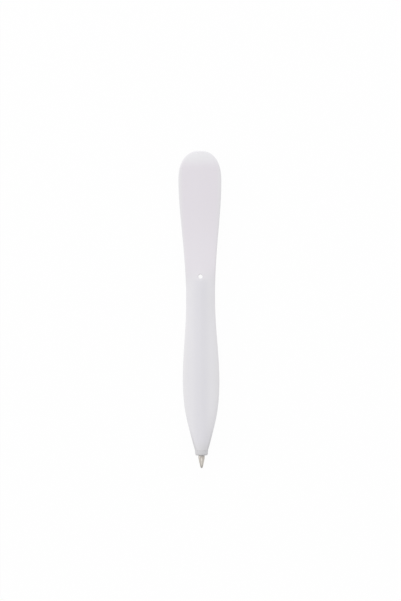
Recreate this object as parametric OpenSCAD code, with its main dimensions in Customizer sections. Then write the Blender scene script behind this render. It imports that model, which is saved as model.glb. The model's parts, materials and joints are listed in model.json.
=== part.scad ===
// Flat ballpoint pen that lies on its back.
// X is the width, +Y runs from the writing ball to the round end of the clip, +Z out of the front face.
// Stations along the pen are distances from the tip of the writing ball.

/* [Outline seen from the front] */
// Length from the writing ball to the round end of the clip
overall_length = 120; // [112:0.5:132]
// Width of the clip at its shoulder, where the pen is broadest
shoulder_width = 16.2; // [14:0.1:18]
// Distance of the shoulder from the round end
shoulder_inset = 11.2; // [9:0.1:14]
// Width of the waist
waist_width = 10.95; // [9.5:0.05:12]
// Station where the waist begins
waist_from = 62.5; // [58:0.1:64]
// Length of the waist's straight stretch
waist_land = 2.5; // [1:0.5:4]
// Station midway along the flare from the waist to the shoulder
flare_at = 92; // [84:0.5:96]
// Share of the flare's widening that is reached there
flare_share = 0.63; // [0.45:0.01:0.8]
// Half-width that the flare gains in each millimetre there
flare_slope = 0.094; // [0.05:0.002:0.12]
// Width of the grip where it bulges most
grip_width = 13.8; // [12.4:0.05:15]
// Station of the widest place of the grip
grip_at = 33.4; // [30:0.1:40]
// Station where the taper of the nose turns into the grip
taper_to = 16.5; // [14:0.5:20]
// Width at the end of the nose's taper
taper_width = 10.12; // [9:0.02:11]
// Half-width that the taper gains in each millimetre by the nose ring
taper_first_slope = 0.3; // [0.22:0.005:0.34]
// Half-width that the taper gains in each millimetre where it turns into the grip
taper_last_slope = 0.25; // [0.15:0.005:0.29]

/* [Thickness] */
// Thickness of the barrel at the grip, from the flat back to the crown
barrel_thickness = 5.8; // [5.6:0.1:7]
// Height of the crown above the parting plane at the closed end of the refill pocket
pocket_end_crown = 2.35; // [2.2:0.05:2.6]
// Thickness of the clip tongue
tongue_thickness = 2; // [1.6:0.05:2.2]
// Length over which the front face of the clip sweeps back to its end
sweep_length = 7; // [4:0.5:10]
// Depth that the front face of the clip drops in its sweep
sweep_drop = 0.9; // [0.4:0.05:1.1]
// Length over which the front and back edges round off at the end of the clip
end_round = 0.6; // [0.4:0.1:2]
// Depth of loft below the flat back that the resting face is cut from
back_cut = 0.12; // [0.05:0.01:0.25]
// Wall of the shells round their pockets
shell_wall = 1.2; // [1:0.05:1.5]

/* [Arch of the front face] */
// Height that the crown gains in each millimetre where it leaves the nose ring
nose_slope = 0.11; // [0.05:0.01:0.13]
// Depth that the face falls from its middle to its edges at the end of the nose's taper
nose_arch = 0.6; // [0.3:0.05:0.9]
// Depth that the face falls from its middle to its edges at the grip
grip_arch = 1.15; // [0.6:0.05:1.3]
// Depth that the face falls from its middle to its edges on the clip
clip_arch = 0.25; // [0.05:0.05:0.5]

/* [Roundness of the sections, 2 is an ellipse and more is squarer] */
// Front of the barrel at the end of the nose's taper
nose_squareness = 3.5; // [2.5:0.1:5]
// Front of the barrel at the grip
grip_squareness = 8; // [5:0.5:10]
// Front of the clip
clip_squareness = 9; // [5:0.5:12]
// Pockets of the front shell
pocket_squareness = 2.5; // [2:0.1:3]
// Back of the pen
back_squareness = 5; // [4:0.5:8]
// Outline of the round end
end_squareness = 2.3; // [2:0.1:3]

/* [Nose] */
// Length of metal that shows below the mouth
point_reach = 4.85; // [4.5:0.05:6]
// Length of the nose ring
ring_length = 1.9; // [1.6:0.1:2.4]
// Diameter of the nose ring
ring_diameter = 4.9; // [4.6:0.1:5.4]
// Radius of the ring's rounded mouth edge
ring_edge = 0.6; // [0.2:0.05:1]
// Thickness of the ring's lip round the metal point
ring_lip = 0.55; // [0.4:0.05:0.7]
// Diameter of the spigot that the two shells make for the ring
spigot_diameter = 3.8; // [3.6:0.05:4.2]

/* [Clip] */
// Station of the root of the clip
clip_root = 77; // [76:0.5:80]
// Gap between the two arms of the clip
slit_gap = 0.5; // [0.3:0.05:0.8]
// Distance of the gripping ridge from the round end
ridge_inset = 9; // [7:0.5:14]
// Length of the gripping ridge across the clip
ridge_length = 9; // [6:0.5:10]
// Radius of the gripping ridge
ridge_radius = 1.2; // [0.8:0.1:1.6]
// Height of the gripping ridge above the rear arm
ridge_height = 0.35; // [0.1:0.05:0.45]
// Length of the flared mouth between the arms
mouth_length = 3; // [2:0.25:5]
// Opening that the flare adds on each arm
mouth_flare = 0.3; // [0.1:0.05:0.4]

/* [Cord hole] */
// Diameter of the cord hole
hole_diameter = 1.6; // [1.2:0.1:2]
// Station of the cord hole
hole_at = 72.5; // [71:0.05:74]
// Width of the bevel round the hole on both faces
hole_bevel = 0.3; // [0.1:0.05:0.5]

/* [Refill] */
// Length of the refill from the ball to the open end of its tube
refill_length = 67; // [64:0.5:68]
// Outside diameter of the refill
refill_diameter = 2.35; // [2.2:0.01:2.45]
// Wall of the refill tube
tube_wall = 0.3; // [0.25:0.01:0.4]
// Diameter of the writing ball
ball_diameter = 0.7; // [0.5:0.05:0.8]
// Length of ball that shows beyond the lip of its socket
ball_show = 0.2; // [0.12:0.02:0.22]
// Thickness of the socket's lip round the ball
socket_lip = 0.07; // [0.05:0.01:0.12]
// Station where the cone of the point reaches its full diameter
cone_to = 3.7; // [3.3:0.1:4.3]
// Station of the shoulder of the point that butts against the tube
point_shoulder = 9; // [8:0.1:11]
// Length of the point's shank inside the tube
shank_length = 3; // [2:0.1:4]
// Diameter of the ink channel through the point
channel_diameter = 0.9; // [0.7:0.05:1]
// Diameter of the feed hole behind the ball
feed_diameter = 0.36; // [0.24:0.02:0.4]
// Length of the feed hole from the ball's centre to the ink channel
feed_length = 1.6; // [1.3:0.1:2.2]
// Station of the ink's free end
ink_to = 54; // [40:1:58]
// Length of the grease follower
follower_length = 3.5; // [2:0.5:5]

/* [Inside of the shells] */
// Station where the first pocket of the shells begins
pocket_from = 15; // [14:0.5:17]
// Station where the last pocket of the shells ends
pocket_to = 61; // [58:0.5:63]
// Number of pockets along the barrel
pocket_count = 4; // [2:1:6]
// Thickness of the ribs between the pockets, which cradle the refill
rib_thickness = 1; // [0.8:0.1:1.6]
// Diameter of the locating pins
pin_diameter = 1.2; // [1:0.05:1.4]
// Length of the locating pins below the parting plane
pin_length = 1.1; // [0.8:0.05:1.3]
// Distance of the locating pins from the outline
pin_inset = 2.5; // [2.3:0.1:2.8]
// Wall of the boss round each locating pin
boss_wall = 0.65; // [0.5:0.05:0.8]
// Distance of the last pair of pins from the root of the clip
root_pin_inset = 2.2; // [1.6:0.1:2.6]

/* [Clearances] */
// Radial clearance of the refill in the lip of the nose ring
lip_clearance = 0.04; // [0.02:0.005:0.08]
// Radial clearance of the refill in its pocket
pocket_clearance = 0.075; // [0.05:0.005:0.12]
// Clearance between the end of the refill and the end of its pocket
end_clearance = 0.2; // [0.1:0.05:0.5]
// Clearance between pieces that are pressed or located together
fit_clearance = 0.01; // [0.005:0.005:0.03]
// Clearance of the locating pins in their sockets
pin_clearance = 0.04; // [0.02:0.01:0.08]
// Clearance of the ball in its socket
ball_clearance = 0.015; // [0.01:0.005:0.03]
// Gap between the front shell and the clip at the root
root_gap = 0.05; // [0.03:0.01:0.15]

/* [Hidden] */
$fn = 64;
WHITE = [0.89, 0.87, 0.9];
SILVER = [0.78, 0.75, 0.72];
CLEAR = [0.86, 0.88, 0.86];
INK = [0.07, 0.09, 0.3];
GREASE = [0.9, 0.86, 0.66];
CARBIDE = [0.42, 0.42, 0.43];
axis_height = barrel_thickness / 2;
nose_from = point_reach + ring_length;
nose_radius = ring_diameter / 2;
shoulder_at = overall_length - shoulder_inset;
waist_to = waist_from + waist_land;
pocket_end = refill_length + end_clearance;
refill_radius = refill_diameter / 2;
pocket_radius = refill_radius + pocket_clearance;
tube_bore = refill_radius - tube_wall;
ball_radius = ball_diameter / 2;
spigot_radius = spigot_diameter / 2;
pin_radius = pin_diameter / 2;
hole_radius = hole_diameter / 2;
ridge_at = overall_length - ridge_inset;
bay_pitch = (pocket_to - pocket_from + rib_thickness) / pocket_count;
feed_to = ball_radius + feed_length;
shank_to = point_shoulder + shank_length;
// Overlap of a cutting shape with the face that it cuts
cut = 1;
// Spacing of the loft's sections and the number of steps round half a section
section_step = 2;
section_sides = 28;
pocket_sides = 12;
pocket_sections = 6;
end_sections = 16;
// Half-width of the last section, which closes the round end, and its share of the thickness
end_half_width = 0.3;
least_share = 0.3;
// Roundness of the edge at the end, seen from the side
edge_squareness = 3;
// Power by which the arch of the front face falls towards its edges
arch_power = 1.5;

// Stations of each curve are [distance from the ball, value, slope]
outline_stations = [
    [nose_from, nose_radius, taper_first_slope],
    [taper_to, taper_width / 2, taper_last_slope],
    [grip_at, grip_width / 2, 0],
    [waist_from, waist_width / 2, 0],
    [waist_to, waist_width / 2, 0],
    [flare_at, waist_width / 2 + flare_share * (shoulder_width - waist_width) / 2, flare_slope],
    [shoulder_at, shoulder_width / 2, 0]];
crown_stations = [
    [nose_from, nose_radius, nose_slope],
    [taper_to, barrel_thickness / 2, 0],
    [grip_at, barrel_thickness / 2, 0],
    [pocket_end, pocket_end_crown, 0],
    [clip_root, tongue_thickness, 0],
    [overall_length, tongue_thickness, 0]];
keel_stations = [
    [nose_from, nose_radius, 0],
    [taper_to, axis_height + back_cut, 0],
    [overall_length, axis_height + back_cut, 0]];
arch_stations = [
    [nose_from, 0, 0],
    [taper_to, nose_arch, (grip_arch - nose_arch) / (grip_at - taper_to)],
    [grip_at, grip_arch, 0],
    [pocket_end, grip_arch, 0],
    [clip_root, clip_arch, 0],
    [overall_length, clip_arch, 0]];
crown_squareness = [
    [nose_from, 2, 0],
    [taper_to, nose_squareness, (grip_squareness - nose_squareness) / (grip_at - taper_to)],
    [grip_at, grip_squareness, 0],
    [pocket_end, grip_squareness, 0],
    [clip_root, clip_squareness, 0],
    [overall_length, clip_squareness, 0]];
keel_squareness = [
    [nose_from, 2, 0],
    [taper_to, back_squareness, 0],
    [overall_length, back_squareness, 0]];

// Smooth curve between two stations that meets both values and slopes
function between(a, b, at) =
    let (span = b[0] - a[0], t = (at - a[0]) / span)
    (2 * t ^ 3 - 3 * t ^ 2 + 1) * a[1] + (t ^ 3 - 2 * t ^ 2 + t) * span * a[2]
        + (3 * t ^ 2 - 2 * t ^ 3) * b[1] + (t ^ 3 - t ^ 2) * span * b[2];

function along(stations, at, i = 0) =
    i + 2 >= len(stations) || at <= stations[i + 1][0]
        ? between(stations[i], stations[i + 1], at)
        : along(stations, at, i + 1);

// Half-height of a rounded outline of unit size at a distance from 0 to 1 from its middle
function rounded(distance, squareness) = max(0, 1 - distance ^ squareness) ^ (1 / squareness);

// The outline closes in a rounded end from the shoulder on
function half_width(at) =
    at <= shoulder_at
        ? along(outline_stations, at)
        : max(end_half_width, shoulder_width / 2 * rounded((at - shoulder_at) / shoulder_inset, end_squareness));

// Share of the thickness that is left where the end of the clip rounds off
function end_share(at) =
    max(least_share, rounded(max(0, 1 - (overall_length - at) / end_round), edge_squareness));

function sweep(at) = sweep_drop * (max(0, at - overall_length + sweep_length) / sweep_length) ^ 2;
function crown(at) = (along(crown_stations, at) - sweep(at)) * end_share(at);
function keel(at) = along(keel_stations, at) * end_share(at);
function arch(at) = along(arch_stations, at) * end_share(at);

// Half section above the parting plane, or below it for a rise of -1, with an arched face and rounded edges
function half_section(width, height, fall, squareness, sides, rise) =
    [for (i = [0:sides])
        let (c = cos(180 * i / sides), share = sqrt(abs(c)))
        rise * [sign(c) * width * share, (height - fall * share ^ arch_power) * rounded(share, squareness)]];

// Stations of the sections from one place to another, closer together at the round end
function even_stations(from, to) =
    let (steps = ceil((to - from) / section_step))
    [for (i = [0:steps]) from + (to - from) * i / steps];
function end_stations() =
    [for (i = [1:end_sections]) shoulder_at + shoulder_inset * sin(90 * i / end_sections)];

// Solid through a list of equal sections, each a list of [x, z] at its station
module loft(stations, sections) {
    sides = len(sections[0]);
    last = len(stations) - 1;
    points = [for (k = [0:last]) for (p = sections[k]) [p[0], stations[k], p[1]]];
    skin = [for (k = [0:last - 1]) for (i = [0:sides - 1])
        let (a = k * sides + i, b = k * sides + (i + 1) % sides)
        for (face = [[a, b, b + sides], [a, b + sides, a + sides]]) face];
    lids = [[for (i = [0:sides - 1]) sides - 1 - i], [for (i = [0:sides - 1]) last * sides + i]];
    polyhedron(points = points, faces = concat(skin, lids), convexity = 6);
}

// Outer half of the pen above the parting plane between two stations
module front_half(stations) {
    translate([0, 0, axis_height])
        loft(stations, [for (at = stations)
            half_section(half_width(at), crown(at), arch(at), along(crown_squareness, at), section_sides, 1)]);
}

// Outer half of the pen below the parting plane, cut flat where it rests
module back_half(stations) {
    difference() {
        translate([0, 0, axis_height])
            loft(stations, [for (at = stations)
                half_section(half_width(at), keel(at), 0, along(keel_squareness, at), section_sides, -1)]);
        translate([-shoulder_width, -cut, -2 * back_cut - cut])
            cube([2 * shoulder_width, overall_length + 2 * cut, 2 * back_cut + cut]);
    }
}

// One hollow between two ribs of a shell, open at the parting plane
module shell_pocket(from, to, rise) {
    step = (to - from) / pocket_sections;
    stations = [for (i = [0:pocket_sections]) from + step * i];
    height = function (at) (rise > 0 ? crown(at) : axis_height) - shell_wall;
    squareness = function (at) rise > 0 ? pocket_squareness : along(keel_squareness, at);
    sections = [for (at = stations)
        half_section(half_width(at) - shell_wall, height(at), 0, squareness(at), pocket_sides, rise)];
    translate([0, 0, axis_height])
        loft(stations, sections);
}

// The row of hollows, with the bosses of the locating pins left standing
module shell_pockets(rise) {
    difference() {
        for (i = [0:pocket_count - 1])
            shell_pocket(pocket_from + i * bay_pitch, pocket_from + (i + 1) * bay_pitch - rib_thickness, rise);
        at_pins()
            cylinder(r = pin_radius + boss_wall, h = 2 * barrel_thickness, center = true);
    }
}

// Places of the locating pins: on the first and last rib, and beside the root of the clip
module at_pins() {
    first_rib = pocket_from + bay_pitch - rib_thickness / 2;
    last_rib = pocket_to - bay_pitch + rib_thickness / 2;
    for (at = [first_rib, last_rib, clip_root - root_pin_inset])
        for (side = [-1, 1])
            translate([side * (half_width(at) - pin_inset), at, axis_height])
                children();
}

// Puts a shape that is drawn along Z onto the refill's axis
module on_axis() {
    translate([0, 0, axis_height])
        rotate([-90, 0, 0])
            children();
}

// Moves the pen so that its middle lies over the origin
module centred() {
    translate([0, -overall_length / 2, 0])
        children();
}

// Space that the refill slides in, from the nose to the closed end
module refill_bore() {
    on_axis()
        cylinder(r = pocket_radius, h = pocket_end);
}

// Half of the spigot that carries the nose ring
module spigot_half(rise) {
    length = ring_length - ring_lip - fit_clearance;
    intersection() {
        on_axis()
            translate([0, 0, nose_from - length])
                cylinder(r = spigot_radius, h = length + cut);
        translate([-spigot_radius, 0, axis_height - (rise > 0 ? 0 : spigot_radius)])
            cube([spigot_diameter, nose_from + cut, spigot_radius]);
    }
}

// Through hole with a bevel on the front face and on the back face
module cord_hole() {
    front = axis_height + crown(hole_at);
    translate([0, hole_at, 0]) {
        translate([0, 0, -cut])
            cylinder(r = hole_radius, h = front + 2 * cut);
        translate([0, 0, front - hole_bevel])
            cylinder(r1 = hole_radius, r2 = hole_radius + 2 * hole_bevel, h = 2 * hole_bevel);
        translate([0, 0, -hole_bevel])
            cylinder(r1 = hole_radius + 2 * hole_bevel, r2 = hole_radius, h = 2 * hole_bevel);
    }
}

// Wedge that flares the mouth of the clip on one side of the slit
module mouth_wedge(height, rise) {
    reach = mouth_flare * (mouth_length + cut) / mouth_length;
    translate([-shoulder_width, overall_length - mouth_length, height])
        rotate([90, 0, 90])
            linear_extrude(2 * shoulder_width)
                polygon([[0, 0], [mouth_length + cut, 0], [mouth_length + cut, rise * reach]]);
}

module back_shell() {
    stations = concat(even_stations(nose_from, shoulder_at), end_stations());
    slit_floor = axis_height - slit_gap;
    color(WHITE)
        centred() {
            difference() {
                union() {
                    back_half(stations);
                    spigot_half(-1);
                }
                translate([-shoulder_width, clip_root - root_gap, slit_floor])
                    cube([2 * shoulder_width, overall_length, slit_gap + cut]);
                mouth_wedge(slit_floor, -1);
                shell_pockets(-1);
                refill_bore();
                cord_hole();
                at_pins()
                    translate([0, 0, -pin_length - 2 * pin_clearance])
                        cylinder(r = pin_radius + pin_clearance, h = pin_length + cut);
            }
            translate([0, ridge_at, slit_floor + ridge_height - ridge_radius])
                intersection() {
                    rotate([0, 90, 0])
                        cylinder(r = ridge_radius, h = ridge_length, center = true);
                    translate([-ridge_length, -ridge_radius, ridge_radius - ridge_height - shell_wall / 2])
                        cube([2 * ridge_length, 2 * ridge_radius, barrel_thickness]);
                }
        }
}

module front_shell() {
    color(WHITE)
        centred()
            difference() {
                union() {
                    front_half(even_stations(nose_from, clip_root - root_gap));
                    spigot_half(1);
                    at_pins()
                        translate([0, 0, -pin_length])
                            cylinder(r = pin_radius, h = pin_length + pin_radius);
                }
                shell_pockets(1);
                refill_bore();
                cord_hole();
            }
}

module clip_tongue() {
    color(WHITE)
        centred()
            difference() {
                front_half(concat(even_stations(clip_root, shoulder_at), end_stations()));
                mouth_wedge(axis_height, 1);
            }
}

module nose_ring() {
    bore = refill_radius + lip_clearance;
    seat = spigot_radius + fit_clearance;
    color(WHITE)
        centred()
            on_axis()
                translate([0, 0, point_reach])
                    rotate_extrude()
                        difference() {
                            union() {
                                translate([0, ring_edge])
                                    square([nose_radius, ring_length - ring_edge - fit_clearance]);
                                square([nose_radius - ring_edge, ring_length - ring_edge]);
                                translate([nose_radius - ring_edge, ring_edge])
                                    circle(ring_edge);
                            }
                            translate([-cut, -cut])
                                square([bore + cut, ring_length + 2 * cut]);
                            translate([-cut, ring_lip])
                                square([seat + cut, ring_length]);
                        }
}

module refill_tube() {
    color(CLEAR)
        centred()
            on_axis()
                translate([0, 0, point_shoulder])
                    difference() {
                        cylinder(r = refill_radius, h = refill_length - point_shoulder);
                        translate([0, 0, -cut])
                            cylinder(r = tube_bore, h = refill_length + cut);
                    }
}

module refill_point() {
    lip_radius = sqrt((ball_radius + ball_clearance) ^ 2 - (ball_radius - ball_show) ^ 2) + socket_lip;
    color(SILVER)
        centred()
            on_axis()
                difference() {
                    rotate_extrude()
                        polygon([
                            [0, ball_show],
                            [lip_radius, ball_show],
                            [refill_radius, cone_to],
                            [refill_radius, point_shoulder],
                            [tube_bore - fit_clearance, point_shoulder],
                            [tube_bore - fit_clearance, shank_to],
                            [0, shank_to]]);
                    translate([0, 0, ball_radius])
                        sphere(r = ball_radius + ball_clearance);
                    translate([0, 0, ball_radius])
                        cylinder(r = feed_diameter / 2, h = shank_to);
                    translate([0, 0, feed_to])
                        cylinder(r = channel_diameter / 2, h = shank_to);
                }
}

module writing_ball() {
    color(CARBIDE)
        centred()
            on_axis()
                translate([0, 0, ball_radius])
                    sphere(r = ball_radius);
}

module ink_column() {
    channel = channel_diameter / 2 - fit_clearance;
    color(INK)
        centred()
            on_axis()
                rotate_extrude()
                    polygon([
                        [0, feed_to + fit_clearance],
                        [channel, feed_to + fit_clearance],
                        [channel, shank_to + fit_clearance],
                        [tube_bore - fit_clearance, shank_to + fit_clearance],
                        [tube_bore - fit_clearance, ink_to],
                        [0, ink_to]]);
}

module ink_follower() {
    color(GREASE)
        centred()
            on_axis()
                translate([0, 0, ink_to])
                    cylinder(r = tube_bore - fit_clearance, h = follower_length);
}

back_shell();
front_shell();
clip_tongue();
nose_ring();
refill_tube();
refill_point();
writing_ball();
ink_column();
ink_follower();
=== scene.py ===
import json
import math

import bmesh
import bpy
import numpy as np
from mathutils import Matrix, Vector


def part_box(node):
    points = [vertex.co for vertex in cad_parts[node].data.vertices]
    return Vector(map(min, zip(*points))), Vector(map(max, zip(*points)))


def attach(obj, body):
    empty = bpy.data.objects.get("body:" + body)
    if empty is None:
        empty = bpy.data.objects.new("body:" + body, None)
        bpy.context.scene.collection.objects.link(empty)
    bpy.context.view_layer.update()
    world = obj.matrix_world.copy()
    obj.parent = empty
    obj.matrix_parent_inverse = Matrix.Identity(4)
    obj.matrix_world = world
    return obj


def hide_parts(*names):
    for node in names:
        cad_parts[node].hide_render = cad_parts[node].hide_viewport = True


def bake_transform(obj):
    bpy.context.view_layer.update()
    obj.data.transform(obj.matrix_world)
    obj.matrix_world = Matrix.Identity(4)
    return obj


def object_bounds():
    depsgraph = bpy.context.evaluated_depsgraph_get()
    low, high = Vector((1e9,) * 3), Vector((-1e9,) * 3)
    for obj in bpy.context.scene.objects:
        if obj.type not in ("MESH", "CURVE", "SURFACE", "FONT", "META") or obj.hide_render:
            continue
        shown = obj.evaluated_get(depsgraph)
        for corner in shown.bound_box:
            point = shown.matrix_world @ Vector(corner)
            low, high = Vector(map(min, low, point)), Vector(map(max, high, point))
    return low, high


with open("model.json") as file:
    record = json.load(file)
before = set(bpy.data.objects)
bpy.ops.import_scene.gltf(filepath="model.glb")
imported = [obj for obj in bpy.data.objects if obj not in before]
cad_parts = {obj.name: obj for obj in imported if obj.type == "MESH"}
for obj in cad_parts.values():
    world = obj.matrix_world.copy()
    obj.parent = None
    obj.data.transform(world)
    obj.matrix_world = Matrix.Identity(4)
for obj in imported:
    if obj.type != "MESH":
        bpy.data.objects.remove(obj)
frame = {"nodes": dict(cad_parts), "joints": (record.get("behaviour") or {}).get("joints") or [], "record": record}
cad_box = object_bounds()
scene = bpy.context.scene

# Flat ballpoint pen that lies on its back: +Y runs from the ball to the round end, +Z out of its face
# Lengths are in millimetres, and a station is a distance along the pen from the tip of the ball
MM = 0.001
DECIMALS = 4


def length_of(metres):
    """Length in millimetres, without the rounding noise of the frame's numbers."""
    return round(metres / MM, DECIMALS)


SHOULDER_WIDTH, LENGTH, THICKNESS = [length_of(high - low) for low, high in zip(*cad_box)]
AXIS = THICKNESS / 2


def station_of(y):
    """Station of a place along the pen that the frame gives in metres."""
    return length_of(y + LENGTH / 2 * MM)


def place_of(at):
    """Place along the pen in metres of the frame, from a station."""
    return (at - LENGTH / 2) * MM


def reach_of(name):
    """First and last station of a CAD node."""
    low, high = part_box(name)
    return station_of(low.y), station_of(high.y)


# Clearances between pieces, where FIT is that of pieces which stay together
FIT = 0.01
LIP_CLEARANCE = 0.04
PIN_CLEARANCE = 0.04
BALL_CLEARANCE = 0.015
BORE_CLEARANCE = 0.075
END_CLEARANCE = 0.2
ROOT_GAP = 0.05

# Sizes and places that the frame gives, where the ball's centre lies one radius from its tip
joints = {joint["name"]: joint for joint in frame["joints"]}
mounts = {mount["name"]: mount for mount in frame["record"]["mounts"]}
tongue_low, tongue_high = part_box("clip_tongue")
TONGUE = length_of(tongue_high.z - tongue_low.z)
CLIP_ROOT = station_of(joints["clip_flex"]["pos_m"][1])
BALL_RADIUS = station_of(joints["ball_roll"]["pos_m"][1])
HOLE_AT = station_of(mounts["cord_hole"]["pos_m"][1])
HOLE_RADIUS = mounts["cord_hole"]["dims"]["r_mm"]
POINT_REACH, RING_TO = reach_of("nose_ring")
NOSE_FROM = RING_TO + FIT
POINT_SHOULDER, REFILL_LENGTH = reach_of("refill_tube")
SHANK_TO = reach_of("refill_point")[1]
INK_TO, FOLLOWER_TO = reach_of("ink_follower")

# Outline seen from the front, where a slope is half-width gained in each millimetre
SHOULDER_INSET = 11.2
SHOULDER_AT = LENGTH - SHOULDER_INSET
END_HALF_WIDTH = 0.3
FLARE_AT = 92.0
FLARE_SHARE = 0.63
FLARE_SLOPE = 0.094
WAIST_WIDTH = 10.95
WAIST_FROM = 62.5
WAIST_LAND = 2.5
GRIP_WIDTH = 13.8
GRIP_AT = 33.4
TAPER_TO = 16.5
TAPER_WIDTH = 10.12
TAPER_FIRST_SLOPE = 0.3
TAPER_LAST_SLOPE = 0.25

# Thickness, and the fall of the front face from its middle to its edges
POCKET_END_CROWN = 2.35
SWEEP_LENGTH = 7.0
SWEEP_DROP = 0.9
END_ROUND = 0.6
END_LEAST_SHARE = 0.3
BACK_CUT = 0.12
WALL = 1.2
NOSE_SLOPE = 0.11
NOSE_ARCH = 0.6
GRIP_ARCH = 1.15
CLIP_ARCH = 0.25
ARCH_POWER = 1.5

# Roundness of the sections, where more than an ellipse's is squarer
ELLIPSE_POWER = 2
NOSE_POWER = 3.5
GRIP_POWER = 8.0
CLIP_POWER = 14.0
POCKET_POWER = 2.5
BACK_POWER = 5.0
END_POWER = 2.3
END_EDGE_POWER = 3

# Nose ring, and the spigot of the shells that it sits on
RING_RADIUS = 2.45
RING_LIP = 0.55
RING_BEVEL = 0.06
RING_TAPER = 0.05
RING_EDGE = 0.8
RING_EDGE_DROP = 0.42
SPIGOT_RADIUS = 1.9
SPIGOT_FROM = POINT_REACH + RING_LIP + FIT

# Clip and cord hole
SLIT_GAP = 0.5
RIDGE_INSET = 9.0
RIDGE_LENGTH = 9.0
RIDGE_RADIUS = 1.2
RIDGE_HEIGHT = 0.35
MOUTH_LENGTH = 3.0
MOUTH_FLARE = 0.3
HOLE_ROUND = 0.3

# Refill, where each row of its crimped lip is (distance behind the edge, wall round the socket)
REFILL_RADIUS = 1.175
TUBE_WALL = 0.3
TUBE_BORE = REFILL_RADIUS - TUBE_WALL
BALL_SHOW = 0.2
CRIMP = [(0, 0.02), (0.03, 0.06), (0.25, 0.07)]
CONE_FROM = 0.6
CONE_RADIUS = 0.5
CONE_BULGE = 0.05
CONE_TO = 3.75
GROOVE_FROM = 4.62
GROOVE_TO = 5.0
GROOVE_DEPTH = 0.03
POINT_EDGE = 0.04
TUBE_EDGE = 0.05
CHANNEL_RADIUS = 0.45
FEED_RADIUS = 0.18
FEED_LENGTH = 1.6
FEED_TO = BALL_RADIUS + FEED_LENGTH
INK_HOLLOW = 0.25
GREASE_HOLLOW = 0.4

# Inside of the shells
BORE_RADIUS = REFILL_RADIUS + BORE_CLEARANCE
BORE_TO = REFILL_LENGTH + END_CLEARANCE
POCKET_FROM = 15.0
POCKET_TO = 61.0
POCKET_COUNT = 4
RIB = 1.0
BAY = (POCKET_TO - POCKET_FROM + RIB) / POCKET_COUNT
PIN_RADIUS = 0.6
PIN_LENGTH = 1.1
PIN_INSET = 2.5
ROOT_PIN_INSET = 2.2
BOSS_WALL = 0.65
BOSS_RADIUS = PIN_RADIUS + BOSS_WALL

# Bevel along the parting line, and the largest share of a section that it takes
RIM = 0.07
RIM_SHARE = 1 / 3

# Run of the step from the spigot to the nose, and where the back's arc ends if it isn't cut flat
STEP_RUN = 0.004
LAST_ANGLE = math.radians(88)

# Points that a curve is drawn with before it gets evenly spaced ones
CURVE_POINTS = 1601
ARC_POINTS = 800

# Fineness of the meshes, and how far cutters go past what they cut
SECTION_STEP = 0.5
HOLE_STEP = 0.2
NEAR_HOLE = 3.0
END_STEPS = 56
SIDES = 96
POCKET_SIDES = 40
POCKET_STEPS = 10
BORE_SIDES = 64
ROUND_SIDES = 128
ROUND_STEPS = 10
HOLE_STEPS = 8
RING_STEPS = 12
POINT_STEPS = 24
CLEAR = 1.0
OVERLAP = 0.5
MERGE = 1e-5

# Curves along the pen, as rows of (station, value, slope)
FLARE_WIDTH = WAIST_WIDTH + FLARE_SHARE * (SHOULDER_WIDTH - WAIST_WIDTH)
OUTLINE = [
    (NOSE_FROM, RING_RADIUS, TAPER_FIRST_SLOPE),
    (TAPER_TO, TAPER_WIDTH / 2, TAPER_LAST_SLOPE),
    (GRIP_AT, GRIP_WIDTH / 2, 0),
    (WAIST_FROM, WAIST_WIDTH / 2, 0),
    (WAIST_FROM + WAIST_LAND, WAIST_WIDTH / 2, 0),
    (FLARE_AT, FLARE_WIDTH / 2, FLARE_SLOPE),
    (SHOULDER_AT, SHOULDER_WIDTH / 2, 0),
]
CROWN = [
    (NOSE_FROM, RING_RADIUS, NOSE_SLOPE),
    (TAPER_TO, THICKNESS / 2, 0),
    (GRIP_AT, THICKNESS / 2, 0),
    (BORE_TO, POCKET_END_CROWN, 0),
    (CLIP_ROOT, TONGUE, 0),
    (LENGTH, TONGUE, 0),
]
KEEL = [
    (NOSE_FROM, RING_RADIUS, 0),
    (TAPER_TO, AXIS + BACK_CUT, 0),
    (LENGTH, AXIS + BACK_CUT, 0),
]
CROWN_POWER = [
    (NOSE_FROM, ELLIPSE_POWER, 0),
    (TAPER_TO, NOSE_POWER, (GRIP_POWER - NOSE_POWER) / (GRIP_AT - TAPER_TO)),
    (GRIP_AT, GRIP_POWER, 0),
    (BORE_TO, GRIP_POWER, 0),
    (CLIP_ROOT, CLIP_POWER, 0),
    (LENGTH, CLIP_POWER, 0),
]
ARCH = [
    (NOSE_FROM, 0, 0),
    (TAPER_TO, NOSE_ARCH, (GRIP_ARCH - NOSE_ARCH) / (GRIP_AT - TAPER_TO)),
    (GRIP_AT, GRIP_ARCH, 0),
    (BORE_TO, GRIP_ARCH, 0),
    (CLIP_ROOT, CLIP_ARCH, 0),
    (LENGTH, CLIP_ARCH, 0),
]
KEEL_POWER = [
    (NOSE_FROM, ELLIPSE_POWER, 0),
    (TAPER_TO, BACK_POWER, 0),
    (LENGTH, BACK_POWER, 0),
]


# Sections of the two shells
def along(curve, at):
    """Value at a station of a smooth curve through (station, value, slope) rows."""
    for a, b in zip(curve, curve[1:]):
        if at <= b[0] or b is curve[-1]:
            span = b[0] - a[0]
            t = (at - a[0]) / span
            value = (2 * t**3 - 3 * t**2 + 1) * a[1] + (3 * t**2 - 2 * t**3) * b[1]
            return value + span * ((t**3 - 2 * t**2 + t) * a[2] + (t**3 - t**2) * b[2])


def rounded(distance, power):
    """Half-height of a rounded outline of unit size at a distance from its middle."""
    return max(0.0, 1 - distance**power) ** (1 / power)


def half_width(at):
    """Half of the pen's width at a station."""
    if at <= SHOULDER_AT:
        return along(OUTLINE, at)
    share = rounded((at - SHOULDER_AT) / SHOULDER_INSET, END_POWER)
    return max(END_HALF_WIDTH, SHOULDER_WIDTH / 2 * share)


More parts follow.
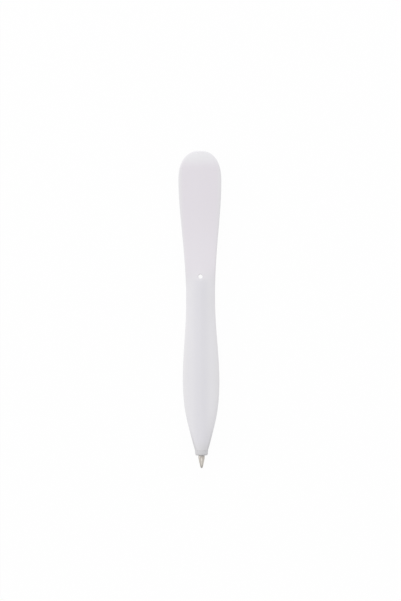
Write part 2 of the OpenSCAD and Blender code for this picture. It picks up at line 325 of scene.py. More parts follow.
def end_share(at):
    """Share of the thickness that is left where the end of the clip rounds off."""
    into_end = max(0.0, 1 - (LENGTH - at) / END_ROUND)
    return max(END_LEAST_SHARE, rounded(into_end, END_EDGE_POWER))


def crown(at):
    """Height of the front face above the parting plane."""
    sweep = SWEEP_DROP * (max(0.0, at - LENGTH + SWEEP_LENGTH) / SWEEP_LENGTH) ** 2
    return (along(CROWN, at) - sweep) * end_share(at)


def keel(at):
    """Depth of the back below the parting plane, before it is cut flat."""
    return along(KEEL, at) * end_share(at)


def mouth(at):
    """How far each arm of the clip is flared open at a station."""
    return MOUTH_FLARE * max(0.0, at - LENGTH + MOUTH_LENGTH) / MOUTH_LENGTH


def resampled(x, z, count):
    """Evenly spaced points along a finely drawn curve."""
    run = np.concatenate([[0], np.cumsum(np.hypot(np.diff(x), np.diff(z)))])
    even = np.linspace(0, run[-1], count)
    return list(zip(np.interp(even, run, x), np.interp(even, run, z)))


def face_points(width, height, fall, power, count):
    """Points of an arched face with rounded edges, from the right to the left, evenly spaced."""
    # The face is drawn most finely at its edges, where it turns down
    crowding = 1 / 3
    c = np.cos(np.linspace(0, math.pi, CURVE_POINTS))
    share = np.abs(c) ** crowding
    z = [(height - fall * u**ARCH_POWER) * rounded(u, power) for u in share]
    return resampled(np.sign(c) * width * share, np.array(z), count)


def arc_points(width, height, power, start, end, count):
    """Points of a rounded half section from one angle to another, evenly spaced."""
    angles = np.linspace(start, end, ARC_POINTS)
    c = np.cos(angles)
    s = np.clip(np.sin(angles), 0, 1)
    x = np.sign(c) * width * np.abs(c) ** (2 / power)
    z = height * s ** (2 / power)
    return resampled(x, z, count)


def front_outline(width, height, fall, power, low):
    """Closed outline of a front half, as (x, z), from a height above the parting plane up."""
    rim = min(RIM, RIM_SHARE * (height - low), RIM_SHARE * width)
    rise = height - low - rim
    dome = face_points(width, rise, min(fall, rise / 2), power, SIDES)
    points = [(x, AXIS + low + rim + z) for x, z in dome]
    return [(width - rim, AXIS + low), *points, (rim - width, AXIS + low)]


def front_section(at):
    """Outline of the front shell and the clip's tongue at a station."""
    fall = along(ARCH, at) * end_share(at)
    return front_outline(half_width(at), crown(at), fall, along(CROWN_POWER, at), mouth(at))


def back_outline(width, depth, power, top):
    """Closed outline of a back half, as (x, z), from a depth below the parting plane down."""
    rim = min(RIM, RIM_SHARE * (depth - top), RIM_SHARE * width)
    start = math.asin((top / depth) ** (power / 2))
    end = LAST_ANGLE
    if depth > AXIS:
        end = min(end, math.asin((AXIS / depth) ** (power / 2)))
    arc = arc_points(width, depth, power, start, end, SIDES // 2)
    bottom = arc[-1][1]
    share = (bottom - top - rim) / (bottom - top)
    side = [(x, AXIS - (top + rim + (z - top) * share)) for x, z in arc]
    left = [(-x, z) for x, z in reversed(side)]
    edge = side[0][0] - rim
    return [(edge, AXIS - top), *side, *left, (-edge, AXIS - top)]


def back_section(at, top):
    """Outline of the back shell at a station, from a depth below the parting plane."""
    return back_outline(half_width(at), keel(at), along(KEEL_POWER, at), top)


# Solids in millimetres, with their places along the pen as stations
def solid(name, points, faces):
    """Mesh object with its faces turned outward."""
    mesh = bpy.data.meshes.new(name)
    mesh.from_pydata(points, [], faces)
    work = bmesh.new()
    work.from_mesh(mesh)
    bmesh.ops.recalc_face_normals(work, faces=work.faces)
    work.to_mesh(mesh)
    work.free()
    made = bpy.data.objects.new(name, mesh)
    scene.collection.objects.link(made)
    return made


def add_loft(points, faces, rows):
    """Adds a closed body through (station, section) rows with equal counts of points."""
    base = len(points)
    count = len(rows[0][1])
    last = len(rows) - 1
    for at, section in rows:
        points.extend((x, at, z) for x, z in section)
    for k in range(last):
        for i in range(count):
            a = base + k * count + i
            b = base + k * count + (i + 1) % count
            faces.append((a, b, b + count, a + count))
    faces.append(tuple(base + i for i in reversed(range(count))))
    faces.append(tuple(base + last * count + i for i in range(count)))


def loft(name, rows):
    """Solid through (station, section) rows."""
    points = []
    faces = []
    add_loft(points, faces, rows)
    return solid(name, points, faces)


def add_turned(points, faces, profile, place, sides):
    """Adds a body of revolution. Each profile row is (distance along the axis, radius).

    A profile that begins on the axis also ends there, and any other one is closed into a ring.
    """
    rings = []
    for distance, radius in profile:
        count = sides if radius > 0 else 1
        rings.append(range(len(points), len(points) + count))
        for i in range(count):
            a = 2 * math.pi * i / sides
            points.append(place(distance, radius * math.cos(a), radius * math.sin(a)))
    pairs = list(zip(rings, rings[1:]))
    if len(rings[0]) > 1:
        pairs.append((rings[-1], rings[0]))
    for a, b in pairs:
        for i in range(sides):
            j = (i + 1) % sides
            if len(a) == 1:
                faces.append((a[0], b[j], b[i]))
            elif len(b) == 1:
                faces.append((a[i], a[j], b[0]))
            else:
                faces.append((a[i], a[j], b[j], b[i]))


def on_axis(at, u, v):
    """Place round the pen's own axis."""
    return (u, at, AXIS + v)


def upright(x, y):
    """Places round an upright axis."""
    return lambda z, u, v: (x + u, y + v, z)


def turned(name, profile, place=on_axis, sides=ROUND_SIDES):
    """Solid of revolution, on the pen's axis unless another place is given."""
    points = []
    faces = []
    add_turned(points, faces, profile, place, sides)
    return solid(name, points, faces)


def cylinders(name, places, radius, low, high):
    """Upright cylinders at several places, as one object."""
    points = []
    faces = []
    for x, y in places:
        profile = [(low, 0), (low, radius), (high, radius), (high, 0)]
        add_turned(points, faces, profile, upright(x, y), BORE_SIDES)
    return solid(name, points, faces)


def combine(piece, other, operation):
    """Cuts another solid from a piece, or joins it on, and removes the other one."""
    step = piece.modifiers.new("combine", "BOOLEAN")
    step.operation = operation
    step.solver = "EXACT"
    step.object = other
    graph = bpy.context.evaluated_depsgraph_get()
    made = bpy.data.meshes.new_from_object(piece.evaluated_get(graph))
    piece.modifiers.clear()
    old = piece.data
    piece.data = made
    bpy.data.meshes.remove(old)
    bpy.data.meshes.remove(other.data)


# Shells
def even_stations():
    """Stations from the ring to the shoulder, closer together by the cord hole."""
    marks = []
    bounds = [NOSE_FROM, HOLE_AT - NEAR_HOLE, HOLE_AT + NEAR_HOLE, SHOULDER_AT]
    for a, b, step in zip(bounds, bounds[1:], (SECTION_STEP, HOLE_STEP, SECTION_STEP)):
        count = math.ceil(round((b - a) / step, DECIMALS))
        marks.extend(a + (b - a) * i / count for i in range(count))
    marks.append(SHOULDER_AT)
    return marks


def end_stations():
    """Stations past the shoulder, closer together towards the round end."""
    shares = [math.sin(math.pi / 2 * i / END_STEPS) for i in range(1, END_STEPS + 1)]
    return [SHOULDER_AT + SHOULDER_INSET * share for share in shares]


def front_rows():
    """Rows of the front shell and the clip's tongue, which are one moulding."""
    spigot = front_outline(SPIGOT_RADIUS, SPIGOT_RADIUS, 0, ELLIPSE_POWER, 0)
    rows = [(at, spigot) for at in (SPIGOT_FROM, NOSE_FROM - STEP_RUN)]
    return rows + [(at, front_section(at)) for at in even_stations() + end_stations()]


def back_rows():
    """Rows of the back shell, which steps down at the root of the clip for the slit."""
    root = CLIP_ROOT - ROOT_GAP
    marks = even_stations() + end_stations()
    spigot = back_outline(SPIGOT_RADIUS, SPIGOT_RADIUS, ELLIPSE_POWER, 0)
    rows = [(at, spigot) for at in (SPIGOT_FROM, NOSE_FROM - STEP_RUN)]
    rows += [(at, back_section(at, 0)) for at in marks if at < root]
    rows += [(root, back_section(root, top)) for top in (0, SLIT_GAP)]
    return rows + [(at, back_section(at, SLIT_GAP + mouth(at))) for at in marks if at > root]


def pin_places():
    """Places of the pins: in pairs on the first and last rib, and by the root of the clip."""
    first = POCKET_FROM + BAY - RIB / 2
    last = POCKET_TO - BAY + RIB / 2
    rows = (first, last, CLIP_ROOT - ROOT_PIN_INSET)
    return [(side * (half_width(at) - PIN_INSET), at) for at in rows for side in (-1, 1)]


def pockets(up):
    """Cutter for the hollows between the ribs, above (1) or below (-1) the parting plane."""
    points = []
    faces = []
    for i in range(POCKET_COUNT):
        rows = []
        for k in range(POCKET_STEPS + 1):
            at = POCKET_FROM + i * BAY + (BAY - RIB) * k / POCKET_STEPS
            height = (crown(at) if up > 0 else AXIS) - WALL
            power = POCKET_POWER if up > 0 else along(KEEL_POWER, at)
            width = half_width(at) - WALL
            dome = face_points(width, height, 0, power, POCKET_SIDES)
            section = [(x, AXIS + up * z) for x, z in dome]
            open_side = AXIS - up * OVERLAP
            rows.append((at, [(width, open_side), *section, (-width, open_side)]))
        add_loft(points, faces, rows)
    made = solid("pockets", points, faces)
    bosses = cylinders("bosses", pin_places(), BOSS_RADIUS, -THICKNESS, 2 * THICKNESS)
    combine(made, bosses, "DIFFERENCE")
    return made


def refill_bore():
    """Cutter for the bore that holds the refill."""
    profile = [(0, 0), (0, BORE_RADIUS), (BORE_TO, BORE_RADIUS), (BORE_TO, 0)]
    return turned("bore", profile, sides=BORE_SIDES)


def cord_hole():
    """Cutter for the cord hole, whose edges are rounded on both faces."""
    front = AXIS + crown(HOLE_AT)
    wide = HOLE_RADIUS + HOLE_ROUND
    edge = []
    for i in range(HOLE_STEPS + 1):
        a = math.pi / 2 * i / HOLE_STEPS
        depth = HOLE_ROUND * (1 - math.sin(a))
        edge.append((depth, HOLE_RADIUS + HOLE_ROUND * (1 - math.cos(a))))
    profile = [(-CLEAR, 0), (-CLEAR, wide), *reversed(edge)]
    profile += [(front - depth, radius) for depth, radius in edge]
    profile += [(front + CLEAR, wide), (front + CLEAR, 0)]
    return turned("hole", profile, upright(0, HOLE_AT), BORE_SIDES)


def ridge():
    """Gripping ridge on the rear arm, with rounded ends."""
    half = RIDGE_LENGTH / 2
    right = []
    for i in range(ROUND_STEPS):
        a = math.pi / 2 * i / ROUND_STEPS
        right.append((half - RIDGE_RADIUS * (1 - math.sin(a)), RIDGE_RADIUS * math.cos(a)))
    right.append((half, 0))
    profile = [(-x, radius) for x, radius in reversed(right)] + right
    at = LENGTH - RIDGE_INSET
    height = AXIS - SLIT_GAP + RIDGE_HEIGHT - RIDGE_RADIUS
    return turned("ridge", profile, lambda x, u, v: (x, at + u, height + v), SIDES)


def make_front():
    """Front shell and clip tongue, with pins, pockets, bore and hole."""
    piece = loft("front_skin", front_rows())
    pins = cylinders("pins", pin_places(), PIN_RADIUS, AXIS - PIN_LENGTH, AXIS + PIN_RADIUS)
    combine(piece, pins, "UNION")
    for cutter in (pockets(1), refill_bore(), cord_hole()):
        combine(piece, cutter, "DIFFERENCE")
    return piece


def make_back():
    """Back shell and rear arm, with ridge, pockets, bore, hole and sockets."""
    piece = loft("back_skin", back_rows())
    low = AXIS - PIN_LENGTH - 2 * PIN_CLEARANCE
    sockets = cylinders("sockets", pin_places(), PIN_RADIUS + PIN_CLEARANCE, low, THICKNESS)
    combine(piece, ridge(), "UNION")
    for cutter in (pockets(-1), refill_bore(), cord_hole(), sockets):
        combine(piece, cutter, "DIFFERENCE")
    return piece


# Ring and refill
def make_ring():
    """Nose ring with a slightly tapered side and a rounded mouth edge."""
    bore = REFILL_RADIUS + LIP_CLEARANCE
    seat = SPIGOT_RADIUS + FIT
    side_from = POINT_REACH + RING_EDGE
    side_to = RING_TO - RING_BEVEL
    profile = [(RING_TO, seat), (RING_TO, RING_RADIUS - RING_BEVEL)]
    for i in range(RING_STEPS + 1):
        t = i / RING_STEPS
        profile.append((side_to - (side_to - side_from) * t, RING_RADIUS - RING_TAPER * t**2))
    rim = RING_RADIUS - RING_TAPER - RING_EDGE_DROP
    for i in range(1, RING_STEPS + 1):
        a = math.pi / 2 * i / RING_STEPS
        profile.append((side_from - RING_EDGE * math.sin(a), rim + RING_EDGE_DROP * math.cos(a)))
    profile += [(POINT_REACH, bore + RING_BEVEL), (POINT_REACH + RING_BEVEL, bore)]
    profile += [(POINT_REACH + RING_LIP, bore), (POINT_REACH + RING_LIP, seat)]
    return turned("nose_ring_skin", profile)


def make_point():
    """Turned metal point: crimped lip, slim cone, body and shank, bored for the ink."""
    socket = BALL_RADIUS + BALL_CLEARANCE
    lip = math.sqrt(socket**2 - (BALL_RADIUS - BALL_SHOW) ** 2)
    shank = TUBE_BORE - FIT
    groove = REFILL_RADIUS - GROOVE_DEPTH
    outer = [(BALL_SHOW + behind, lip + wall) for behind, wall in CRIMP]
    for i in range(POINT_STEPS + 1):
        t = i / POINT_STEPS
        bulge = CONE_BULGE * t * math.sin(math.pi * t)
        radius = CONE_RADIUS + (REFILL_RADIUS - CONE_RADIUS) * t + bulge
        outer.append((CONE_FROM + (CONE_TO - CONE_FROM) * t, radius))
    outer += [(GROOVE_FROM, REFILL_RADIUS), (GROOVE_FROM + POINT_EDGE, groove)]
    outer += [(GROOVE_TO - POINT_EDGE, groove), (GROOVE_TO, REFILL_RADIUS)]
    outer += [(POINT_SHOULDER - POINT_EDGE, REFILL_RADIUS)]
    outer += [(POINT_SHOULDER, REFILL_RADIUS - POINT_EDGE), (POINT_SHOULDER, shank)]
    outer += [(SHANK_TO - POINT_EDGE, shank), (SHANK_TO, shank - POINT_EDGE)]
    inner = [(SHANK_TO, CHANNEL_RADIUS), (FEED_TO, CHANNEL_RADIUS), (FEED_TO, FEED_RADIUS)]
    first = math.asin(FEED_RADIUS / socket)
    last = math.pi - math.asin(lip / socket)
    for i in range(POINT_STEPS + 1):
        a = first + (last - first) * i / POINT_STEPS
        inner.append((BALL_RADIUS + socket * math.cos(a), socket * math.sin(a)))
    return turned("refill_point_skin", outer + inner)


def make_tube():
    """Refill tube with softly cut ends."""
    profile = [
        (POINT_SHOULDER, TUBE_BORE),
        (POINT_SHOULDER, REFILL_RADIUS - TUBE_EDGE),
        (POINT_SHOULDER + TUBE_EDGE, REFILL_RADIUS),
        (REFILL_LENGTH - TUBE_EDGE, REFILL_RADIUS),
        (REFILL_LENGTH, REFILL_RADIUS - TUBE_EDGE),
        (REFILL_LENGTH, TUBE_BORE + TUBE_EDGE),
        (REFILL_LENGTH - TUBE_EDGE, TUBE_BORE),
    ]
    return turned("refill_tube_skin", profile)


def meniscus(at, radius, depth):
    """Hollowed end of a liquid column, from its rim to its middle."""
    shares = [1 - i / ROUND_STEPS for i in range(ROUND_STEPS + 1)]
    return [(at - depth * (1 - share**2), radius * share) for share in shares]


def make_ink():
    """Ink in the channel of the point and in the tube."""
    channel = CHANNEL_RADIUS - FIT
    bore = TUBE_BORE - FIT
    profile = [(FEED_TO + FIT, 0), (FEED_TO + FIT, channel)]
    profile += [(SHANK_TO + FIT, channel), (SHANK_TO + FIT, bore)]
    return turned("ink_column_skin", profile + meniscus(INK_TO, bore, INK_HOLLOW))


def make_follower():
    """Grease plug that follows the ink."""
    bore = TUBE_BORE - FIT
    start = list(reversed(meniscus(INK_TO + FIT, bore, INK_HOLLOW)))
    return turned("ink_follower_skin", start + meniscus(FOLLOWER_TO, bore, GREASE_HOLLOW))


# Range that noise mostly keeps to, and the sockets of a mix node that mixes colours
NOISE_LOW = 0.3
NOISE_HIGH = 0.7
MIX_FACTOR = 0
MIX_FIRST = 6
MIX_SECOND = 7
MIX_RESULT = 2


def node(tree, kind, links, settings):
    """New node with some of its inputs linked and others set."""
    made = tree.nodes.new("ShaderNode" + kind)
    for socket, source in links.items():
        tree.links.new(source, made.inputs[socket])
    for socket, value in settings.items():
        made.inputs[socket].default_value = value
    return made


def material(name):
    """New node material. Returns it with its tree and its shader."""
    made = bpy.data.materials.new(name)
    made.use_nodes = True
    tree = made.node_tree
    tree.nodes.clear()
    shader = node(tree, "BsdfPrincipled", {}, {})
    node(tree, "OutputMaterial", {"Surface": shader.outputs["BSDF"]}, {})
    return made, tree, shader


def coordinates(tree, scale=(1, 1, 1)):
    """Object coordinates in metres, stretched by a scale."""
    source = node(tree, "TexCoord", {}, {})
    return node(tree, "Mapping", {"Vector": source.outputs["Object"]}, {"Scale": scale}).outputs[0]


def maths(tree, operation, *values):
    """Result of an operation on one or two linked values."""
    made = node(tree, "Math", dict(enumerate(values)), {})
    made.operation = operation
    return made.outputs[0]


def pen_place(tree):
    """Distance from the pen's middle line, and place along the pen, in metres."""
    split = node(tree, "SeparateXYZ", {"Vector": coordinates(tree)}, {})
    return maths(tree, "ABSOLUTE", split.outputs["X"]), split.outputs["Y"]


def noise(tree, vector, per_metre, detail, rough=0.5):
    """Noise pattern with so many cells in a metre."""
    settings = {"Scale": per_metre, "Detail": detail, "Roughness": rough}
    return node(tree, "TexNoise", {"Vector": vector}, settings).outputs["Fac"]


def remap(tree, value, start, end, low, high, kind="LINEAR"):
    """Value that runs from low to high while another one runs from start to end."""
    settings = {"From Min": start, "From Max": end, "To Min": low, "To Max": high}
    made = node(tree, "MapRange", {"Value": value}, settings)
    made.interpolation_type = kind
    return made.outputs["Result"]


def ease(tree, value, start, end, low=0, high=1):
    """Soft step from low to high."""
    return remap(tree, value, start, end, low, high, "SMOOTHSTEP")


def spread(tree, pattern, low, high):
    """Noise brought to a range of its own."""
    return remap(tree, pattern, NOISE_LOW, NOISE_HIGH, low, high)


def two_colours(tree, pattern, first, second):
    """Colour that goes from one to another with a pattern."""
    made = node(tree, "ValToRGB", {"Fac": pattern}, {})
    ends = ((NOISE_LOW, first), (NOISE_HIGH, second))
    for element, (position, colour) in zip(made.color_ramp.elements, ends):
        element.position = position
        element.color = (*colour, 1)
    return made.outputs["Color"]


def tinted(tree, colour, tones):
    """Colour with other tones laid over it, each by its own factor."""
    for factor, tone in tones:
        made = node(tree, "Mix", {}, {})
        made.data_type = "RGBA"
        tree.links.new(factor, made.inputs[MIX_FACTOR])
        tree.links.new(colour, made.inputs[MIX_FIRST])
        made.inputs[MIX_SECOND].default_value = (*tone, 1)
        colour = made.outputs[MIX_RESULT]
    return colour


def bump(tree, height, strength, distance, under=None):
    """Relief from a pattern of heights, on top of another relief if there is one."""
    links = {"Height": height}
    if under is not None:
        links["Normal"] = under
    return node(tree, "Bump", links, {"Strength": strength, "Distance": distance}).outputs["Normal"]


# Tones of the plastic, with the painted shade over the bore, on the nose and on the ring
BARREL_WHITE = (0.77, 0.76, 0.788)
BARREL_PALE = (0.785, 0.775, 0.803)
ROOT_WHITE = (0.794, 0.763, 0.806)
CLIP_WHITE = (0.767, 0.733, 0.778)
EDGE_WHITE = (0.777, 0.768, 0.788)
END_WHITE = (0.783, 0.7765, 0.7995)
# Painted shade: a cool darker band over the bore, where the refill lies inside
BORE_SHADE_WHITE = (0.744, 0.734, 0.771)
# Painted shade on the nose, darker towards the ring
NOSE_SHADE_WHITE = (0.71, 0.7, 0.72)
# Painted shade on the sides of the nose, where they turn away from the light
NOSE_SIDE_SHADE = (0.61, 0.6, 0.615)
RING_WHITE = (0.63, 0.625, 0.64)
RING_PALE = (0.65, 0.645, 0.66)
# Painted shade on the ring's rounded mouth edge, which faces away from the light
RING_MOUTH_SHADE = (0.56, 0.55, 0.555)

# Tones of the metal, the tube, the grease and the ink, with painted shade on the metal
METAL_DARK = (0.48, 0.45, 0.41)
METAL_PALE = (0.56, 0.53, 0.49)
# Painted shade of the ring on the metal near the mouth
METAL_RING_SHADE = (0.43, 0.4, 0.37)
METAL_INKY = (0.37, 0.35, 0.32)
# Painted shade: the dark line in the groove by the ring's mouth
METAL_GROOVE_SHADE = (0.17, 0.16, 0.15)
CARBIDE_DARK = (0.2, 0.2, 0.21)
CARBIDE_PALE = (0.34, 0.34, 0.34)
TUBE_DIM = (0.88, 0.91, 0.89)
TUBE_PALE = (0.93, 0.95, 0.93)
GREASE_DEEP = (0.86, 0.78, 0.5)
GREASE_PALE = (0.92, 0.86, 0.62)
INK_DEEP = (0.012, 0.02, 0.11)
INK_PALE = (0.02, 0.035, 0.17)

# Stations where tones and painted shade begin or end on the shells, the ring and the metal
ROOT_TONE_FROM = BORE_TO + 2
CLIP_TONE_TO = CLIP_ROOT + 25
END_TONE_FROM = LENGTH - 7
END_TONE_TO = LENGTH - 2
# The painted shade over the bore fades out past its end between these two stations
BORE_SHADE_FROM = BORE_TO + 2.8
BORE_SHADE_TO = BORE_TO + 4.8
NOSE_SHADE_TO = NOSE_FROM + 4
RING_SHADE_TO = POINT_REACH + 0.8
METAL_SHADE_FROM = CONE_TO - 0.6
INKY_TO = 2.2

# Half of the length over which the painted shade fades at each edge of the groove
GROOVE_SHADE_BLUR = 0.12

# Distances from the middle line between which the painted shade over the bore fades
BORE_SHADE_FULL = 0.8 * BORE_RADIUS
BORE_SHADE_NONE = 3.2 * BORE_RADIUS

# Half-widths that the clip's edge tone goes by, and the shares of a half-width where the clip's edge tone and the
# painted shade on the nose's sides fade in
WAIST_REACH = 6
SHOULDER_REACH = 8
CLIP_EDGE = (0.74, 1.02)
NOSE_SHADE_SHARES = (0.72, 0.98)


def moulded_plastic(name, first, second, rough):
    """White moulded plastic: faint mottling, uneven satin gloss, fine spark-eroded grain."""
    made, tree, shader = material(name)
    vector = coordinates(tree)
    mottle = noise(tree, vector, per_metre=90, detail=4)
    gloss = noise(tree, vector, per_metre=420, detail=5, rough=0.6)
    waves = noise(tree, vector, per_metre=160, detail=1)
    grain = noise(tree, vector, per_metre=9000, detail=2, rough=0.6)
    flow = bump(tree, waves, strength=0.25, distance=4e-5)
    surface = bump(tree, grain, strength=0.2, distance=1.2e-5, under=flow)
    roughness = spread(tree, gloss, low=rough - 0.05, high=rough + 0.06)
    tree.links.new(roughness, shader.inputs["Roughness"])
    tree.links.new(surface, shader.inputs["Normal"])
    shader.inputs["IOR"].default_value = 1.49
    shader.inputs["Specular IOR Level"].default_value = 0.25
    return made, tree, shader, two_colours(tree, mottle, first, second)


def shell_plastic(name):
    """Shell's plastic: rosy on the solid clip, with a cool painted shade over the bore and painted shade on the
    nose near the mouth.
    """
    made, tree, shader, colour = moulded_plastic(name, BARREL_WHITE, BARREL_PALE, rough=0.62)
    aside, at = pen_place(tree)
    nose = place_of(NOSE_FROM)
    taper = place_of(TAPER_TO)
    reaches = (WAIST_REACH * MM, SHOULDER_REACH * MM)
    root = ease(tree, at, place_of(ROOT_TONE_FROM), place_of(CLIP_ROOT))
    clip = ease(tree, at, place_of(CLIP_ROOT), place_of(CLIP_TONE_TO))
    clip_reach = ease(tree, at, place_of(WAIST_FROM), place_of(SHOULDER_AT), *reaches)
    clip_edge = ease(tree, maths(tree, "DIVIDE", aside, clip_reach), *CLIP_EDGE)
    round_end = ease(tree, at, place_of(END_TONE_FROM), place_of(END_TONE_TO))
    # Painted shade down the middle over the bore, which stays where it is when the refill slides
    shade_over_bore = ease(tree, aside, BORE_SHADE_FULL * MM, BORE_SHADE_NONE * MM, 1, 0)
    shade_along_bore = ease(tree, at, place_of(BORE_SHADE_FROM), place_of(BORE_SHADE_TO), 1, 0)
    # Painted shade on the nose, darker towards the ring
    nose_mouth_shade = ease(tree, at, nose, place_of(NOSE_SHADE_TO), 1, 0)
    # Painted shade on the sides of the nose, fading out towards the grip
    nose_shade_reach = remap(tree, at, nose, taper, RING_RADIUS * MM, TAPER_WIDTH / 2 * MM)
    nose_side_shade = ease(tree, maths(tree, "DIVIDE", aside, nose_shade_reach), *NOSE_SHADE_SHARES)
    along_nose_shade = ease(tree, at, nose, taper, 1, 0)
    tones = [
        (root, ROOT_WHITE),
        (clip, CLIP_WHITE),
        (clip_edge, EDGE_WHITE),
        (round_end, END_WHITE),
        (maths(tree, "MULTIPLY", shade_over_bore, shade_along_bore), BORE_SHADE_WHITE),
        (nose_mouth_shade, NOSE_SHADE_WHITE),
        (maths(tree, "MULTIPLY", nose_side_shade, along_nose_shade), NOSE_SIDE_SHADE),
    ]
    tree.links.new(tinted(tree, colour, tones), shader.inputs["Base Color"])
    return made


def ring_plastic(name):
    """Ring's plastic, with painted shade round the mouth."""
    made, tree, shader, colour = moulded_plastic(name, RING_WHITE, RING_PALE, rough=0.55)
    at = pen_place(tree)[1]
    # Painted shade, darker towards the ring's mouth
    ring_mouth_shade = ease(tree, at, place_of(POINT_REACH), place_of(RING_SHADE_TO), 1, 0)
    colour = tinted(tree, colour, [(ring_mouth_shade, RING_MOUTH_SHADE)])
    tree.links.new(colour, shader.inputs["Base Color"])
    return made


def turned_metal(name, first, second, rough, pitch):
    """Turned metal: tool rings of a pitch round the axis, slight stains and uneven gloss."""
    made, tree, shader = material(name)
    stain = noise(tree, coordinates(tree), per_metre=900, detail=4, rough=0.6)
    round_axis = coordinates(tree, scale=(0.02, 1, 0.02))
    rings = noise(tree, round_axis, per_metre=1 / (pitch * MM), detail=2, rough=0.6)
    colour = two_colours(tree, stain, first, second)
    tree.links.new(colour, shader.inputs["Base Color"])
    roughness = spread(tree, rings, low=rough - 0.07, high=rough + 0.09)
    tree.links.new(roughness, shader.inputs["Roughness"])
    tree.links.new(bump(tree, rings, strength=0.35, distance=4e-6), shader.inputs["Normal"])
    shader.inputs["Metallic"].default_value = 1.0
    return made, tree, shader, colour


def point_metal(name):
    """Turned metal of the point, with dried ink by the ball, painted shade of the ring on the metal near the
    mouth, and a darker painted shade in the mouth's groove.
    """
    made, tree, shader, colour = turned_metal(name, METAL_DARK, METAL_PALE, rough=0.36, pitch=0.12)
    at = pen_place(tree)[1]
    blur = GROOVE_SHADE_BLUR * MM
    groove_from = place_of(GROOVE_FROM)
    groove_to = place_of(GROOVE_TO)
    # Painted shade of the ring, darker towards the mouth
    ring_shade_on_metal = ease(tree, at, place_of(METAL_SHADE_FROM), groove_from)
    inky = ease(tree, at, place_of(BALL_SHOW), place_of(INKY_TO), 1, 0)
    # Painted shade in the groove by the ring's mouth
    behind = ease(tree, at, groove_from - blur, groove_from + blur)
    before = ease(tree, at, groove_to - blur, groove_to + blur, 1, 0)
    groove_shade = maths(tree, "MULTIPLY", behind, before)
    colour = tinted(tree, colour, [(ring_shade_on_metal, METAL_RING_SHADE), (inky, METAL_INKY), (groove_shade, METAL_GROOVE_SHADE)])
    tree.links.new(colour, shader.inputs["Base Color"])
    return made


def clear_plastic(name, first, second, rough, ior, clear):
    """Translucent plastic or grease with faint lines along its length."""
    made, tree, shader = material(name)
    lines = noise(tree, coordinates(tree, scale=(1, 0.01, 1)), per_metre=4000, detail=2)
    cloud = noise(tree, coordinates(tree), per_metre=300, detail=3)
    tree.links.new(two_colours(tree, cloud, first, second), shader.inputs["Base Color"])
    roughness = spread(tree, cloud, low=rough - 0.05, high=rough + 0.05)
    tree.links.new(roughness, shader.inputs["Roughness"])
    tree.links.new(bump(tree, lines, strength=0.08, distance=4e-6), shader.inputs["Normal"])
    shader.inputs["IOR"].default_value = ior
    shader.inputs["Transmission Weight"].default_value = clear
    return made


def wet_ink(name, first, second):
    """Thick ink: deep colour with streaks where it has settled, and a wet surface."""
    made, tree, shader = material(name)
    stretched = coordinates(tree, scale=(1, 0.15, 1))
    streaks = noise(tree, stretched, per_metre=1500, detail=4, rough=0.6)
    tree.links.new(two_colours(tree, streaks, first, second), shader.inputs["Base Color"])
    tree.links.new(spread(tree, streaks, low=0.08, high=0.2), shader.inputs["Roughness"])
    tree.links.new(bump(tree, streaks, strength=0.1, distance=5e-6), shader.inputs["Normal"])
    return made


shell_white = shell_plastic("shell_white")
ring_white = ring_plastic("ring_white")
point_silver = point_metal("point_silver")
ball_carbide = turned_metal("ball_carbide", CARBIDE_DARK, CARBIDE_PALE, rough=0.24, pitch=0.08)[0]
tube_clear = clear_plastic("tube_clear", TUBE_DIM, TUBE_PALE, rough=0.12, ior=1.49, clear=0.95)
grease_clear = clear_plastic("grease_clear", GREASE_DEEP, GREASE_PALE, rough=0.1, ior=1.46, clear=0.7)
ink_blue = wet_ink("ink_blue", INK_DEEP, INK_PALE)


# Pieces
def place_in_frame(piece, sharp_degrees):
    """Brings a piece from millimetres to the frame and sets smooth shading by angle."""
    work = bmesh.new()
    work.from_mesh(piece.data)
    bmesh.ops.remove_doubles(work, verts=work.verts, dist=MERGE)
    bmesh.ops.dissolve_degenerate(work, edges=work.edges, dist=MERGE)
    limit = math.radians(sharp_degrees)
    for face in work.faces:
        face.smooth = True
    for edge in work.edges:
        edge.smooth = len(edge.link_faces) == 2 and edge.calc_face_angle(0) < limit
    work.to_mesh(piece.data)
    work.free()
    piece.data.transform(Matrix.Scale(MM, 4) @ Matrix.Translation((0, -LENGTH / 2, 0)))


def set_piece(piece, looks, body, slot, *nodes, sharp=30):
    """Gives a new piece its looks, and its body if one is given."""
    place_in_frame(piece, sharp)
    piece.data.materials.clear()
    piece.data.materials.append(looks)
    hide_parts(*nodes)
    if body is not None:
        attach(piece, body)


front_skin = make_front()
set_piece(front_skin, shell_white, None, "shell_white", "front_shell", "clip_tongue")
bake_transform(front_skin)
set_piece(make_back(), shell_white, "barrel", "shell_white", "back_shell")
set_piece(make_ring(), ring_white, "barrel", "ring_white", "nose_ring")
set_piece(make_point(), point_silver, "refill", "point_silver", "refill_point", sharp=25)
set_piece(make_tube(), tube_clear, "refill", "tube_clear", "refill_tube")
set_piece(make_ink(), ink_blue, "refill", "ink", "ink_column")
set_piece(make_follower(), grease_clear, "refill", "grease", "ink_follower")
ball = frame["nodes"]["writing_ball"]
ball.data.materials.clear()
ball.data.materials.append(ball_carbide)

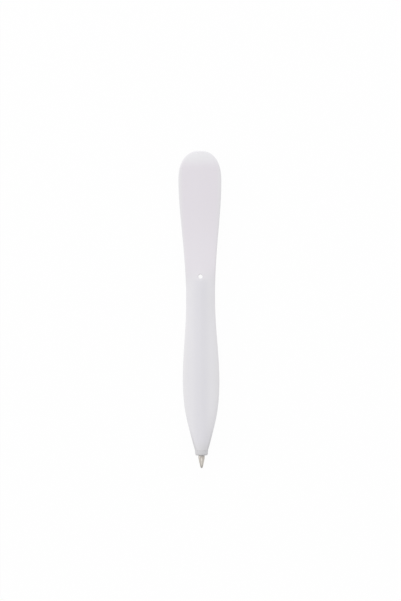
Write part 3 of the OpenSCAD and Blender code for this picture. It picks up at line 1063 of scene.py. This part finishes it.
# Camera straight above the pen, which lies on its back. PIXEL is what an image pixel spans at AIM
IMAGE_HEIGHT = 601
PIXEL = 0.37807 * MM
AIM = Vector((-0.03, 3.365, 3.0)) * MM
CAMERA_DISTANCE = 0.9
CAMERA_ROLL = math.radians(-0.36)
SENSOR = 36
camera_data = bpy.data.cameras.new("camera")
camera_data.sensor_fit = "VERTICAL"
camera_data.sensor_width = SENSOR
camera_data.sensor_height = SENSOR
camera_data.lens = SENSOR * CAMERA_DISTANCE / (IMAGE_HEIGHT * PIXEL)
camera_data.clip_start = 0.01
camera_data.clip_end = 50
camera = bpy.data.objects.new("camera", camera_data)
camera.location = AIM + Vector((0, 0, CAMERA_DISTANCE))
camera.rotation_euler = (0, 0, CAMERA_ROLL)
scene.collection.objects.link(camera)
bpy.context.scene.camera = camera


# Stage: a white floor that keeps a soft shadow of the pen, in an even white tent
def shown_white(tree, share, lit, white):
    """Shader that is white, by a share, to rays that show the background, and lit to the rest."""
    path = node(tree, "LightPath", {}, {})
    shown = path.outputs["Is Camera Ray"]
    for other in ("Is Glossy Ray", "Is Transmission Ray"):
        shown = maths(tree, "MAXIMUM", shown, path.outputs[other])
    factor = remap(tree, shown, 0, 1, 0, share)
    links = {0: factor, 1: lit.outputs[0], 2: white.outputs[0]}
    return node(tree, "MixShader", links, {}).outputs[0]


# Floor, in metres, and the share of it that shows as plain white
FLOOR_HALF = 4.0
FLOOR_DROP = 0.02 * MM
FLOOR_GREY = (0.9, 0.9, 0.9, 1)
FLOOR_SHARE = 0.96
corners = [(-1, -1), (1, -1), (1, 1), (-1, 1)]
floor_mesh = bpy.data.meshes.new("floor")
floor_points = [(x * FLOOR_HALF, y * FLOOR_HALF, -FLOOR_DROP) for x, y in corners]
floor_mesh.from_pydata(floor_points, [], [(0, 1, 2, 3)])
floor = bpy.data.objects.new("floor", floor_mesh)
scene.collection.objects.link(floor)
paper = bpy.data.materials.new("paper_floor")
paper.use_nodes = True
paper.cycles.emission_sampling = "NONE"
paper_tree = paper.node_tree
paper_tree.nodes.clear()
matt = node(paper_tree, "BsdfDiffuse", {}, {"Color": FLOOR_GREY})
glow = node(paper_tree, "Emission", {}, {"Strength": 1.0})
paper_surface = shown_white(paper_tree, FLOOR_SHARE, matt, glow)
node(paper_tree, "OutputMaterial", {"Surface": paper_surface}, {})
floor_mesh.materials.append(paper)

# Tent, whose light on the pen is weaker than the white it shows
TENT_STRENGTH = 0.757
WHITE = (1, 1, 1, 1)
world = bpy.data.worlds.new("tent")
world.use_nodes = True
scene.world = world
sky = world.node_tree
sky.nodes.clear()
tent = node(sky, "Background", {}, {"Color": WHITE, "Strength": TENT_STRENGTH})
backdrop = node(sky, "Background", {}, {"Color": WHITE, "Strength": 1.0})
node(sky, "OutputWorld", {"Surface": shown_white(sky, 1.0, tent, backdrop)}, {})

# Soft square lamps, as rows of (name, direction from the pen, size in metres, power in watts)
LAMP_DISTANCE = 1.4
LAMPS = [
    ("top", (0.0, 0.95, 0.3), 0.7, 6.9),
    ("left", (-0.95, 0.1, 0.3), 0.7, 3.75),
    ("right", (0.95, 0.1, 0.3), 0.7, 0.55),
    ("front", (0.0, -0.41, 0.91), 0.4, 1.0),
]
for name, direction, size, power in LAMPS:
    lamp_data = bpy.data.lights.new(name, "AREA")
    lamp_data.shape = "SQUARE"
    lamp_data.size = size
    lamp_data.energy = power
    lamp = bpy.data.objects.new(name, lamp_data)
    away = Vector(direction).normalized()
    lamp.location = away * LAMP_DISTANCE
    lamp.rotation_euler = away.to_track_quat("Z", "Y").to_euler()
    scene.collection.objects.link(lamp)

scene.view_settings.view_transform = "Standard"
